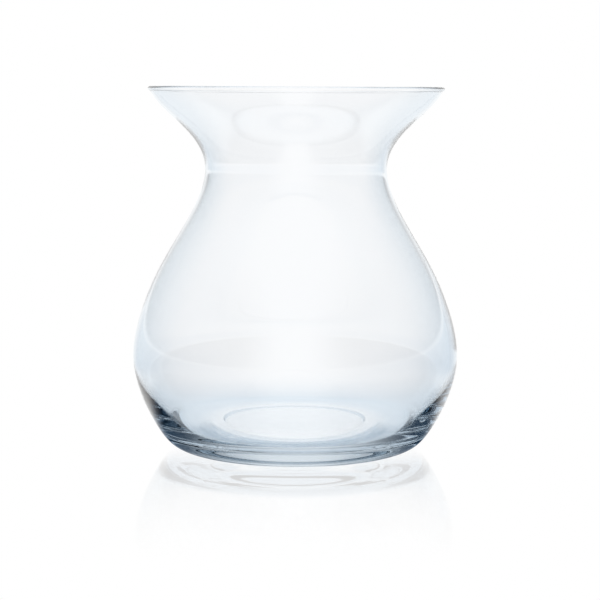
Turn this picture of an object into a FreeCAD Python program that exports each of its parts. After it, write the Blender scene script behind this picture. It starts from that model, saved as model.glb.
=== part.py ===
import FreeCAD, Part
import os
from math import cos, radians, sin, sqrt

# Forcing vase for a hyacinth bulb: one wall of clear blown glass, round about Z.
# Roots and water fill the bowl, the bulb's base sits in the throat, and the flared cup
# holds the bulb upright. Lengths are in millimetres, and angles in degrees.
# The origin is the middle of the standing ring, on the surface that the vase stands on.

# Outside
HEIGHT = 120.0            # standing ring to the top of the lip
MOUTH_RADIUS = 48.8       # widest point of the bead round the lip
NECK_RADIUS = 30.0        # narrowest point of the neck
NECK_HEIGHT = 92.9
BELLY_RADIUS = 54.1       # widest point of the bowl
BELLY_HEIGHT = 31.2
FOOT_RADIUS = 28.3        # where the standing ring ends and the rounded heel begins
LIP_LEAN = 36.0           # outward lean of the wall at the lip, from upright

# Wall
LIP_WALL = 1.0            # just below the bead
BEAD_RADIUS = 0.75        # of the fire-polished bead along the lip
NECK_WALL = 1.4
BELLY_WALL = 1.85
THROAT_LAND = 3.0         # length of the straight stretch inside the neck
FLOOR_LEVEL = 8.3         # cavity's floor above the surface that the vase stands on

# Underside
RING_WIDTH = 4.1          # flat part that stands on the surface
PUSH_UP = 0.8             # depth of the hollow under the floor

# Each stretch of the outline is one smooth curve. Its poles are shares of the way from the
# stretch's first point to its last one, across and then up.
HEEL_SHARES = [(0.26, 0.014), (0.52, 0.03), (0.52, -0.03), (0.66, 0.19), (1.0, 0.55)]
SHOULDER_SHARES = [(0.0, 0.245), (0.44, 0.485), (0.24, 0.49), (1.0, 0.77)]
CUP_SHARES = [(0.0, 0.24), (0.19, 0.56), (0.82, 0.70)]
LIP_HANDLE_SHARE = 0.09   # of the cup's rise, how far the last pole lies below the lip
BASIN_SHARES = [(0.0, 0.80), (0.31, 1.02), (0.11, 1.18), (0.23, 1.0)]
HOLLOW_SHARES = [(0.02, 0.0), (0.04, 0.9), (0.08, 1.0)]

UP = FreeCAD.Vector(0, 0, 1)
ORIGIN = FreeCAD.Vector(0, 0, 0)

THROAT_RADIUS = NECK_RADIUS - NECK_WALL
CAVITY_RADIUS = BELLY_RADIUS - BELLY_WALL
RING_INNER_RADIUS = FOOT_RADIUS - RING_WIDTH
BEAD_SEAT = sqrt(BEAD_RADIUS ** 2 - (LIP_WALL / 2) ** 2)


def point(radius, level):
    return FreeCAD.Vector(radius, 0, level)


def stretch(start, end, shares, last_pole=None):
    """One smooth edge from start to end, with poles at shares of the way across and up."""
    across = end.x - start.x
    rise = end.z - start.z
    poles = [start]
    poles += [point(start.x + across * out_share, start.z + rise * up_share) for out_share, up_share in shares]
    if last_pole:
        poles.append(last_pole)
    poles.append(end)
    curve = Part.BezierCurve()
    curve.setPoles(poles)
    return curve.toShape()


def cup_stretch(start, end, lip_direction):
    """The wall of the cup on one side, which leaves the neck upright and meets the lip at its lean."""
    handle = lip_direction * ((end.z - start.z) * LIP_HANDLE_SHARE / lip_direction.z)
    return stretch(start, end, CUP_SHARES, last_pole=end - handle)


def half_section():
    """The edges round the glass on one side of the axis, in order from the standing ring's inner edge."""
    lip_direction = FreeCAD.Vector(sin(radians(LIP_LEAN)), 0, cos(radians(LIP_LEAN)))
    lip_square = FreeCAD.Vector(lip_direction.z, 0, -lip_direction.x)
    bead_centre = point(MOUTH_RADIUS - BEAD_RADIUS, HEIGHT - BEAD_RADIUS)
    wall_top = bead_centre - lip_direction * BEAD_SEAT
    lip_outer = wall_top + lip_square * LIP_WALL / 2
    lip_tip = bead_centre + lip_direction * BEAD_RADIUS
    lip_inner = wall_top - lip_square * LIP_WALL / 2

    ring_inner = point(RING_INNER_RADIUS, 0)
    ring_outer = point(FOOT_RADIUS, 0)
    belly = point(BELLY_RADIUS, BELLY_HEIGHT)
    neck = point(NECK_RADIUS, NECK_HEIGHT)
    land_top = point(THROAT_RADIUS, NECK_HEIGHT + THROAT_LAND / 2)
    land_bottom = point(THROAT_RADIUS, NECK_HEIGHT - THROAT_LAND / 2)
    cavity_belly = point(CAVITY_RADIUS, BELLY_HEIGHT)
    floor_middle = point(0, FLOOR_LEVEL)
    hollow_middle = point(0, PUSH_UP)

    return [
        Part.LineSegment(ring_inner, ring_outer).toShape(),
        stretch(ring_outer, belly, HEEL_SHARES),
        stretch(belly, neck, SHOULDER_SHARES),
        cup_stretch(neck, lip_outer, lip_direction),
        Part.Arc(lip_outer, lip_tip, lip_inner).toShape(),
        cup_stretch(land_top, lip_inner, lip_direction),
        Part.LineSegment(land_bottom, land_top).toShape(),
        stretch(cavity_belly, land_bottom, SHOULDER_SHARES),
        stretch(cavity_belly, floor_middle, BASIN_SHARES),
        Part.LineSegment(floor_middle, hollow_middle).toShape(),
        stretch(ring_inner, hollow_middle, HOLLOW_SHARES),
    ]


def glass_vase():
    """The whole vase, turned from its half section."""
    outline = Part.Wire(Part.__sortEdges__(half_section()))
    return Part.Face(outline).revolve(ORIGIN, UP, 360)


os.makedirs("parts", exist_ok=True)
vase = glass_vase()
if not vase.isValid():
    raise ValueError("the vase isn't a valid solid")
vase.exportStep("parts/glass_vase.step")
box = vase.BoundBox
print("glass_vase", vase.ShapeType, "solids", len(vase.Solids), "volume mm3", round(vase.Volume, 1))
print("box mm", round(box.XLength, 3), round(box.YLength, 3), round(box.ZMin, 3), round(box.ZMax, 3))
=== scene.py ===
from math import acos, cos, pi, radians, sin, sqrt

import bpy
import numpy as np
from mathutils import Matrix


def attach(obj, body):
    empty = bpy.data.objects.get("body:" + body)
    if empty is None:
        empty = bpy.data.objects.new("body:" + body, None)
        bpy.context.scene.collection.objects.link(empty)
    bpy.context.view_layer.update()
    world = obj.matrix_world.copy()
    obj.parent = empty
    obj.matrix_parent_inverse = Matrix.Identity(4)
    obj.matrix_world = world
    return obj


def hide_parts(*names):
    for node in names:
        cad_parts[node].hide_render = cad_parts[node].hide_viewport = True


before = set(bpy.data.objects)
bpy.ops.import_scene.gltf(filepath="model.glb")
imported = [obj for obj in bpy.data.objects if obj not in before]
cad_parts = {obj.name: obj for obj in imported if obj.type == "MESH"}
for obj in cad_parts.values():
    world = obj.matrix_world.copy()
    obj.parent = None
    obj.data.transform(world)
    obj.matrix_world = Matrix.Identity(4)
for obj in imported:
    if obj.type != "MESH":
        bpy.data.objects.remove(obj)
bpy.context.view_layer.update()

# Hyacinth forcing vase of clear blown glass. Lengths are in metres.
MM = 0.001

# The vase's half section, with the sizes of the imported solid
HEIGHT = 120.0 * MM
MOUTH_RADIUS = 48.8 * MM
NECK_RADIUS = 30.0 * MM
NECK_HEIGHT = 92.9 * MM
BELLY_RADIUS = 54.1 * MM
BELLY_HEIGHT = 31.2 * MM
FOOT_RADIUS = 28.3 * MM
LIP_LEAN = radians(36.0)
LIP_WALL = 1.0 * MM
BEAD_RADIUS = 0.75 * MM
NECK_WALL = 1.4 * MM
BELLY_WALL = 1.85 * MM
FLOOR_LEVEL = 8.3 * MM
RING_WIDTH = 4.1 * MM
PUSH_UP = 0.8 * MM

# The blown cavity lies a little to the left of the axis, so the right wall is the thicker one
CAVITY_SHIFT = 0.4 * MM

# Poles of each smooth stretch, as shares of the way across and up
HEEL_SHARES = [(0.26, 0.014), (0.52, 0.03), (0.52, -0.03), (0.66, 0.19), (1.0, 0.55)]
SHOULDER_SHARES = [(0.0, 0.245), (0.44, 0.485), (0.24, 0.49), (1.0, 0.77)]
CUP_SHARES = [(0.0, 0.24), (0.19, 0.56), (0.82, 0.70)]
LIP_HANDLE_SHARE = 0.09
BASIN_SHARES = [(0.0, 0.80), (0.31, 1.02), (0.11, 1.18), (0.23, 1.0)]
HOLLOW_SHARES = [(0.02, 0.0), (0.04, 0.9), (0.08, 1.0)]

SEGMENTS = 320
STRETCH_STEPS = 72
RING_STEPS = 4
LIP_STEPS = 32

# Light that the glass takes away, each metre, from red, green and blue
ABSORPTION = (4.5, 3.4, 2.6)
GLASS_IOR = 1.5

# Tint of the glass seen face on, and painted shade, darker and bluer, where the surface turns away from
# the eye
FACE_TINT = (0.986, 0.991, 0.997, 1.0)
EDGE_SHADE = (0.80, 0.90, 0.97, 1.0)
EDGE_START = 0.35

# Waves of the blown wall, which fade out towards the thick base
WAVES_START = 20.0 * MM
WAVES_FULL = 60.0 * MM
WAVES_STRENGTH = 0.5
WAVES_DEPTH = 0.06 * MM
WAVES_STRETCH = (1.0, 1.0, 0.45)
WAVES_SCALE = 70.0
WAVES_DETAIL = 1.0

# Patches of uneven polish
POLISH_STRETCH = (1.0, 1.0, 1.0)
POLISH_SCALE = 90.0
POLISH_DETAIL = 3.0
POLISH_START = 0.62
POLISH_FULL = 0.80
POLISH_ROUGHNESS = 0.012

# Surround: the glass sees it dim low down on the left and right, as beside a lit backdrop
WHITE = (1.0, 1.0, 1.0, 1.0)
SIDE_COLOUR = (0.04, 0.06, 0.085, 1.0)
SIDE_START = 0.10         # how far round from the backdrop, as the sine of the turn
SIDE_FULL = 0.80
SIDE_LOW_END = 0.03       # how high, as the sine of the elevation
SIDE_TOP_START = 0.45
SIDE_TOP_END = 0.95

# Floor: plain white to the eye
FLOOR_RADIUS = 3.0
FLOOR_SEGMENTS = 96
FLOOR_DROP = 0.05 * MM
FLOOR_PAINT = (0.9, 0.9, 0.9, 1.0)

# Seen through the glass, the floor is a little dimmer in a wide ring round the foot
FLOOR_SHADE = (0.80, 0.87, 0.93, 1.0)
SHADE_INNER_START = 24.0 * MM
SHADE_INNER_END = 34.0 * MM
SHADE_START = 46.0 * MM
SHADE_END = 120.0 * MM

# Painted shade: seen through the glass, the floor is also dimmer further out on the left and right
FLOOR_SIDE_SHADE = (0.60, 0.68, 0.76, 1.0)
FLOOR_SIDE_NEAR = 60.0 * MM
FLOOR_SIDE_FAR = 180.0 * MM

# Just in front of the standing ring it lies in the foot's own shade
CONTACT_SHADE = (0.34, 0.45, 0.56, 1.0)
CONTACT_START = 27.0 * MM
CONTACT_FULL = 29.0 * MM
CONTACT_FALL = 32.0 * MM
CONTACT_END = 42.0 * MM
CONTACT_FRONT = 18.0 * MM
CONTACT_SIDE = 4.0 * MM

# Painted shade: reflections in the glass see the floor dark in front of the foot and beside it
BESIDE_SHADE = (0.02, 0.06, 0.12, 1.0)
BESIDE_START = 0.12
BESIDE_FULL = 0.45
BESIDE_NEAR = 30.0 * MM
BESIDE_NEAR_FULL = 44.0 * MM
BESIDE_FRONT = 8.0 * MM
BESIDE_BACK = 30.0 * MM
BESIDE_FAR_START = 90.0 * MM
BESIDE_FAR = 220.0 * MM

# Faint mirror in the floor, for the eye and for the glass, which fades away from the foot
MIRROR_SHARE = 0.34
MIRROR_UNDER_SHARE = 0.10
MIRROR_ROUGHNESS = 0.02
MIRROR_START = 40.0 * MM
MIRROR_END = 150.0 * MM
MIRROR_FRONT = 40.0 * MM   # how far in front of the axis the mirror is whole
MIRROR_SIDE_START = 45.0 * MM
MIRROR_SIDE_END = 75.0 * MM

# Camera: its place is worked out from the photograph's outline
CAMERA_DISTANCE = 4.75 * HEIGHT
CAMERA_PITCH = radians(7.08)
CAMERA_ROLL = radians(-0.25)
CAMERA_CLIP = 0.01
FOCAL_PIXELS = 1719.0
IMAGE_PIXELS = 600
AXIS_PIXEL_X = 296.4
SENSOR = 36.0

# Light has to pass the wall many times
MAX_BOUNCES = 64
GLOSSY_BOUNCES = 32


def bezier(poles, steps):
    """Points along one smooth curve, as rows of radius and level."""
    places = np.array(poles, dtype=float)
    share = np.linspace(0.0, 1.0, steps + 1)[:, None, None]
    layer = np.repeat(places[None, :, :], steps + 1, axis=0)
    while layer.shape[1] > 1:
        layer = layer[:, :-1] * (1.0 - share) + layer[:, 1:] * share
    return layer[:, 0, :]


def stretch(start, end, shares, last_pole=None):
    """One smooth stretch of the section, with poles at shares of the way across and up."""
    start = np.array(start)
    end = np.array(end)
    poles = [start] + [start + (end - start) * np.array(pair) for pair in shares]
    if last_pole is not None:
        poles.append(last_pole)
    return bezier(poles + [end], STRETCH_STEPS)


def cup_stretch(start, end, lip_direction):
    """One side of the cup's wall, which leaves the neck upright and meets the lip at its lean."""
    handle = lip_direction * ((end[1] - start[1]) * LIP_HANDLE_SHARE / lip_direction[1])
    return stretch(start, end, CUP_SHARES, last_pole=np.array(end) - handle)


def half_section():
    """Rows of radius, level and shift to the left, from the underside's middle to the cavity floor's."""
    direction = np.array([sin(LIP_LEAN), cos(LIP_LEAN)])
    square = np.array([direction[1], -direction[0]])
    centre = np.array([MOUTH_RADIUS - BEAD_RADIUS, HEIGHT - BEAD_RADIUS])
    wall_top = centre - direction * sqrt(BEAD_RADIUS ** 2 - (LIP_WALL / 2) ** 2)
    lip_outer = wall_top + square * LIP_WALL / 2
    lip_inner = wall_top - square * LIP_WALL / 2
    under = acos(LIP_WALL / 2 / BEAD_RADIUS)
    turns = np.linspace(-under, pi + under, LIP_STEPS + 1)[1:-1]
    lip = np.array([centre + BEAD_RADIUS * (square * cos(turn) + direction * sin(turn)) for turn in turns])

    ring_inner = (FOOT_RADIUS - RING_WIDTH, 0.0)
    ring_outer = (FOOT_RADIUS, 0.0)
    belly = (BELLY_RADIUS, BELLY_HEIGHT)
    neck = (NECK_RADIUS, NECK_HEIGHT)
    throat = (NECK_RADIUS - NECK_WALL, NECK_HEIGHT)
    cavity_belly = (BELLY_RADIUS - BELLY_WALL, BELLY_HEIGHT)

    outer = [
        stretch(ring_inner, (0.0, PUSH_UP), HOLLOW_SHARES)[::-1][:-1],
        np.linspace(ring_inner, ring_outer, RING_STEPS + 1)[:-1],
        stretch(ring_outer, belly, HEEL_SHARES)[:-1],
        stretch(belly, neck, SHOULDER_SHARES)[:-1],
        cup_stretch(neck, lip_outer, direction),
        lip,
    ]
    inner = [
        cup_stretch(throat, lip_inner, direction)[::-1],
        stretch(cavity_belly, throat, SHOULDER_SHARES)[::-1][1:],
        stretch(cavity_belly, (0.0, FLOOR_LEVEL), BASIN_SHARES)[1:],
    ]
    rows = np.vstack(outer + inner)
    aside = np.zeros(len(rows))
    inner_rows = slice(sum(len(part) for part in outer), None)
    depth_share = (NECK_HEIGHT - rows[inner_rows, 1]) / (NECK_HEIGHT - BELLY_HEIGHT)
    aside[inner_rows] = CAVITY_SHIFT * np.clip(depth_share, 0.0, 1.0)
    return np.column_stack([rows, aside])


def lathe(name, section):
    """A closed mesh turned from a section whose first and last points lie on the axis."""
    rings = section[1:-1]
    angles = np.arange(SEGMENTS) * (2.0 * pi / SEGMENTS)
    circle = np.column_stack([np.cos(angles), np.sin(angles)])
    ring_points = np.empty((len(rings), SEGMENTS, 3))
    ring_points[:, :, :2] = rings[:, 0][:, None, None] * circle[None, :, :]
    ring_points[:, :, 0] -= rings[:, 2][:, None]
    ring_points[:, :, 2] = rings[:, 1][:, None]
    poles = [(-aside, 0.0, level) for _, level, aside in (section[0], section[-1])]
    points = np.vstack([ring_points.reshape(-1, 3), poles])
    first_pole = len(points) - 2
    last_pole = len(points) - 1

    index = np.arange(len(rings) * SEGMENTS).reshape(len(rings), SEGMENTS)
    after = np.roll(index, -1, axis=1)
    corners = [index[:-1], after[:-1], after[1:], index[1:]]
    quads = np.stack(corners, axis=-1).reshape(-1, 4).tolist()
    fans = [[first_pole, b, a] for a, b in zip(index[0].tolist(), after[0].tolist())]
    fans += [[last_pole, a, b] for a, b in zip(index[-1].tolist(), after[-1].tolist())]

    mesh = bpy.data.meshes.new(name)
    mesh.from_pydata(points.tolist(), [], quads + fans)
    mesh.polygons.foreach_set("use_smooth", [True] * len(mesh.polygons))
    mesh.update()
    piece = bpy.data.objects.new(name, mesh)
    bpy.context.scene.collection.objects.link(piece)
    return piece


def new_material(name):
    material = bpy.data.materials.new(name)
    material.use_nodes = True
    material.node_tree.nodes.clear()
    return material, material.node_tree


def coordinates(tree, kind):
    """Texture coordinates of a kind, and the X, Y and Z that they are made of."""
    place = tree.nodes.new("ShaderNodeTexCoord").outputs[kind]
    split = tree.nodes.new("ShaderNodeSeparateXYZ")
    tree.links.new(place, split.inputs["Vector"])
    return place, split.outputs


def calculate(tree, operation, *sources):
    node = tree.nodes.new("ShaderNodeMath")
    node.operation = operation
    for source, socket in zip(sources, node.inputs):
        tree.links.new(source, socket)
    return node.outputs["Value"]


def multiply(tree, first, *others):
    product = first
    for other in others:
        product = calculate(tree, "MULTIPLY", product, other)
    return product


def ramp(tree, source, start, end, first=0.0, last=1.0, kind="SMOOTHSTEP"):
    """The first value up to the start and the last value from the end on, with a slope between."""
    node = tree.nodes.new("ShaderNodeMapRange")
    node.interpolation_type = kind
    node.inputs["From Min"].default_value = start
    node.inputs["From Max"].default_value = end
    node.inputs["To Min"].default_value = first
    node.inputs["To Max"].default_value = last
    tree.links.new(source, node.inputs["Value"])
    return node.outputs["Result"]


def band(tree, source, start, full, fall, end):
    """1 from full to fall, with a slope to 0 on each side."""
    return multiply(tree, ramp(tree, source, start, full), ramp(tree, source, fall, end, 1.0, 0.0))


def mix_shaders(tree, share, first, second):
    mix = tree.nodes.new("ShaderNodeMixShader")
    tree.links.new(share, mix.inputs["Fac"])
    tree.links.new(first, mix.inputs[1])
    tree.links.new(second, mix.inputs[2])
    return mix.outputs["Shader"]


def set_colour(tree, socket, colour):
    """A socket's colour, either plain or from another node."""
    if isinstance(colour, tuple):
        socket.default_value = colour
    else:
        tree.links.new(colour, socket)


def mix_colours(tree, share, first, second):
    mix = tree.nodes.new("ShaderNodeMix")
    mix.data_type = "RGBA"
    tree.links.new(share, mix.inputs["Factor"])
    for socket, colour in zip([socket for socket in mix.inputs if socket.type == "RGBA"], (first, second)):
        set_colour(tree, socket, colour)
    return [socket for socket in mix.outputs if socket.type == "RGBA"][0]


def glow(tree, colour, kind="ShaderNodeEmission"):
    """Light of a colour."""
    node = tree.nodes.new(kind)
    set_colour(tree, node.inputs["Color"], colour)
    return node.outputs[0]


def shown_to(tree, *names):
    """1 for the kinds of ray that are named, and 0 for the others."""
    path = tree.nodes.new("ShaderNodeLightPath")
    total = path.outputs[names[0]]
    for name in names[1:]:
        total = calculate(tree, "MAXIMUM", total, path.outputs[name])
    return total


def noise(tree, stretched, scale, detail):
    """Noise over the vase's own coordinates, drawn out by a scale for each axis."""
    mapping = tree.nodes.new("ShaderNodeMapping")
    mapping.inputs["Scale"].default_value = stretched
    texture = tree.nodes.new("ShaderNodeTexNoise")
    texture.inputs["Scale"].default_value = scale
    texture.inputs["Detail"].default_value = detail
    place = tree.nodes.new("ShaderNodeTexCoord").outputs["Object"]
    tree.links.new(place, mapping.inputs["Vector"])
    tree.links.new(mapping.outputs["Vector"], texture.inputs["Vector"])
    return texture.outputs["Fac"]


def waves(tree):
    """The surface's direction, with the gentle waves of a blown wall above the base."""
    bump = tree.nodes.new("ShaderNodeBump")
    bump.inputs["Distance"].default_value = WAVES_DEPTH
    _, axes = coordinates(tree, "Object")
    strength = ramp(tree, axes["Z"], WAVES_START, WAVES_FULL, 0.0, WAVES_STRENGTH)
    tree.links.new(strength, bump.inputs["Strength"])
    tree.links.new(noise(tree, WAVES_STRETCH, WAVES_SCALE, WAVES_DETAIL), bump.inputs["Height"])
    return bump.outputs["Normal"]


def glass_material():
    """Clear glass with a breath of blue, painted shade where it turns away from the eye, gentle waves and
    a trace of uneven polish.
    """
    material, tree = new_material("clear_glass")
    nodes, links = tree.nodes, tree.links
    output = nodes.new("ShaderNodeOutputMaterial")
    shader = nodes.new("ShaderNodeBsdfPrincipled")
    shader.inputs["IOR"].default_value = GLASS_IOR
    shader.inputs["Transmission Weight"].default_value = 1.0
    links.new(shader.outputs["BSDF"], output.inputs["Surface"])

    # Painted shade: the colour turns darker and bluer where the surface turns away from the eye
    facing = nodes.new("ShaderNodeLayerWeight").outputs["Facing"]
    turned = ramp(tree, facing, EDGE_START, 1.0, kind="LINEAR")
    links.new(mix_colours(tree, turned, FACE_TINT, EDGE_SHADE), shader.inputs["Base Color"])
    patches = noise(tree, POLISH_STRETCH, POLISH_SCALE, POLISH_DETAIL)
    polish = ramp(tree, patches, POLISH_START, POLISH_FULL, 0.0, POLISH_ROUGHNESS, kind="LINEAR")
    links.new(polish, shader.inputs["Roughness"])
    links.new(waves(tree), shader.inputs["Normal"])

    tint = nodes.new("ShaderNodeVolumeAbsorption")
    density = max(ABSORPTION)
    tint.inputs["Color"].default_value = tuple(1.0 - loss / density for loss in ABSORPTION) + (1.0,)
    tint.inputs["Density"].default_value = density
    links.new(tint.outputs["Volume"], output.inputs["Volume"])
    return material


def floor_material():
    """White to the eye, with painted shade where the glass sees it, and plain pale paint for the lighting.
    """
    material, tree = new_material("pale_floor")
    place, axes = coordinates(tree, "Object")
    length = tree.nodes.new("ShaderNodeVectorMath")
    length.operation = "LENGTH"
    tree.links.new(place, length.inputs[0])
    radius = length.outputs["Value"]
    aside = calculate(tree, "ABSOLUTE", axes["X"])
    turn = calculate(tree, "DIVIDE", aside, radius)

    beside = ramp(tree, turn, SIDE_START, SIDE_FULL)
    away = ramp(tree, radius, FLOOR_SIDE_NEAR, FLOOR_SIDE_FAR)
    ring = band(tree, radius, SHADE_INNER_START, SHADE_INNER_END, SHADE_START, SHADE_END)
    before_foot = ramp(tree, axes["Y"], -CONTACT_FRONT, -CONTACT_SIDE, 1.0, 0.0)
    near_ring = band(tree, radius, CONTACT_START, CONTACT_FULL, CONTACT_FALL, CONTACT_END)
    # Painted shade on the floor where the glass sees it: dimmer to the sides, in a wide ring round the
    # foot, and just in front of the standing ring
    seen = mix_colours(tree, multiply(tree, beside, away), WHITE, FLOOR_SIDE_SHADE)
    seen = mix_colours(tree, ring, seen, FLOOR_SHADE)
    seen = mix_colours(tree, multiply(tree, before_foot, near_ring), seen, CONTACT_SHADE)

    # Painted shade on the floor, shown only to reflections in the glass
    close = ramp(tree, turn, BESIDE_START, BESIDE_FULL)
    fore = ramp(tree, axes["Y"], -BESIDE_FRONT, BESIDE_BACK, 1.0, 0.0)
    around = band(tree, radius, BESIDE_NEAR, BESIDE_NEAR_FULL, BESIDE_FAR_START, BESIDE_FAR)
    glanced_shade = mix_colours(tree, multiply(tree, close, fore, around), WHITE, BESIDE_SHADE)

    gloss = tree.nodes.new("ShaderNodeBsdfGlossy")
    gloss.inputs["Color"].default_value = WHITE
    gloss.inputs["Roughness"].default_value = MIRROR_ROUGHNESS
    mirror = gloss.outputs["BSDF"]
    fading = ramp(tree, radius, MIRROR_START, MIRROR_END, MIRROR_SHARE, 0.0)
    before = ramp(tree, axes["Y"], -MIRROR_FRONT, 0.0, 1.0, 0.0)
    narrow = ramp(tree, aside, MIRROR_SIDE_START, MIRROR_SIDE_END, 1.0, 0.0)
    faint = ramp(tree, radius, MIRROR_START, MIRROR_END, MIRROR_UNDER_SHARE, 0.0)

    to_eye = mix_shaders(tree, multiply(tree, fading, before, narrow), glow(tree, WHITE), mirror)
    through = mix_shaders(tree, faint, glow(tree, seen), mirror)
    to_glass = mix_shaders(tree, shown_to(tree, "Is Transmission Ray"), glow(tree, glanced_shade), through)
    plain = glow(tree, FLOOR_PAINT, "ShaderNodeBsdfDiffuse")
    bent = shown_to(tree, "Is Glossy Ray", "Is Transmission Ray")
    lit = mix_shaders(tree, bent, plain, to_glass)
    final = mix_shaders(tree, shown_to(tree, "Is Camera Ray"), lit, to_eye)
    output = tree.nodes.new("ShaderNodeOutputMaterial")
    tree.links.new(final, output.inputs["Surface"])
    return material


def floor():
    turns = np.arange(FLOOR_SEGMENTS) * (2.0 * pi / FLOOR_SEGMENTS)
    points = [(FLOOR_RADIUS * cos(turn), FLOOR_RADIUS * sin(turn), 0.0) for turn in turns]
    mesh = bpy.data.meshes.new("floor")
    mesh.from_pydata(points, [], [list(range(len(points)))])
    mesh.materials.append(floor_material())
    piece = bpy.data.objects.new("floor", mesh)
    piece.location = (0.0, 0.0, -FLOOR_DROP)
    bpy.context.scene.collection.objects.link(piece)


def light_world():
    """Plain white light all round. The glass sees it dimmer low down on the left and right."""
    world = bpy.data.worlds.new("studio")
    bpy.context.scene.world = world
    world.use_nodes = True
    tree = world.node_tree
    tree.nodes.clear()
    _, axes = coordinates(tree, "Generated")
    beside = ramp(tree, calculate(tree, "ABSOLUTE", axes["X"]), SIDE_START, SIDE_FULL)
    low = band(tree, axes["Z"], 0.0, SIDE_LOW_END, SIDE_TOP_START, SIDE_TOP_END)
    seen = mix_colours(tree, multiply(tree, beside, low), WHITE, SIDE_COLOUR)
    white = glow(tree, WHITE, "ShaderNodeBackground")
    toned = glow(tree, seen, "ShaderNodeBackground")
    output = tree.nodes.new("ShaderNodeOutputWorld")
    final = mix_shaders(tree, shown_to(tree, "Is Transmission Ray"), white, toned)
    tree.links.new(final, output.inputs["Surface"])


def camera():
    data = bpy.data.cameras.new("camera")
    data.sensor_width = SENSOR
    data.lens = FOCAL_PIXELS / IMAGE_PIXELS * SENSOR
    data.clip_start = CAMERA_CLIP
    piece = bpy.data.objects.new("camera", data)
    aside = (IMAGE_PIXELS / 2 - AXIS_PIXEL_X) / FOCAL_PIXELS * CAMERA_DISTANCE
    piece.location = (aside, -CAMERA_DISTANCE, HEIGHT)
    piece.rotation_euler = (pi / 2 - CAMERA_PITCH, CAMERA_ROLL, 0.0)
    bpy.context.scene.collection.objects.link(piece)
    bpy.context.scene.camera = piece


camera()
light_world()
floor()
vase = lathe("vase", half_section())
vase.data.materials.append(glass_material())
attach(vase, "root")
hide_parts("glass_vase")

bpy.context.scene.view_settings.view_transform = "Standard"
bpy.context.scene.cycles.max_bounces = MAX_BOUNCES
bpy.context.scene.cycles.transmission_bounces = MAX_BOUNCES
bpy.context.scene.cycles.glossy_bounces = GLOSSY_BOUNCES
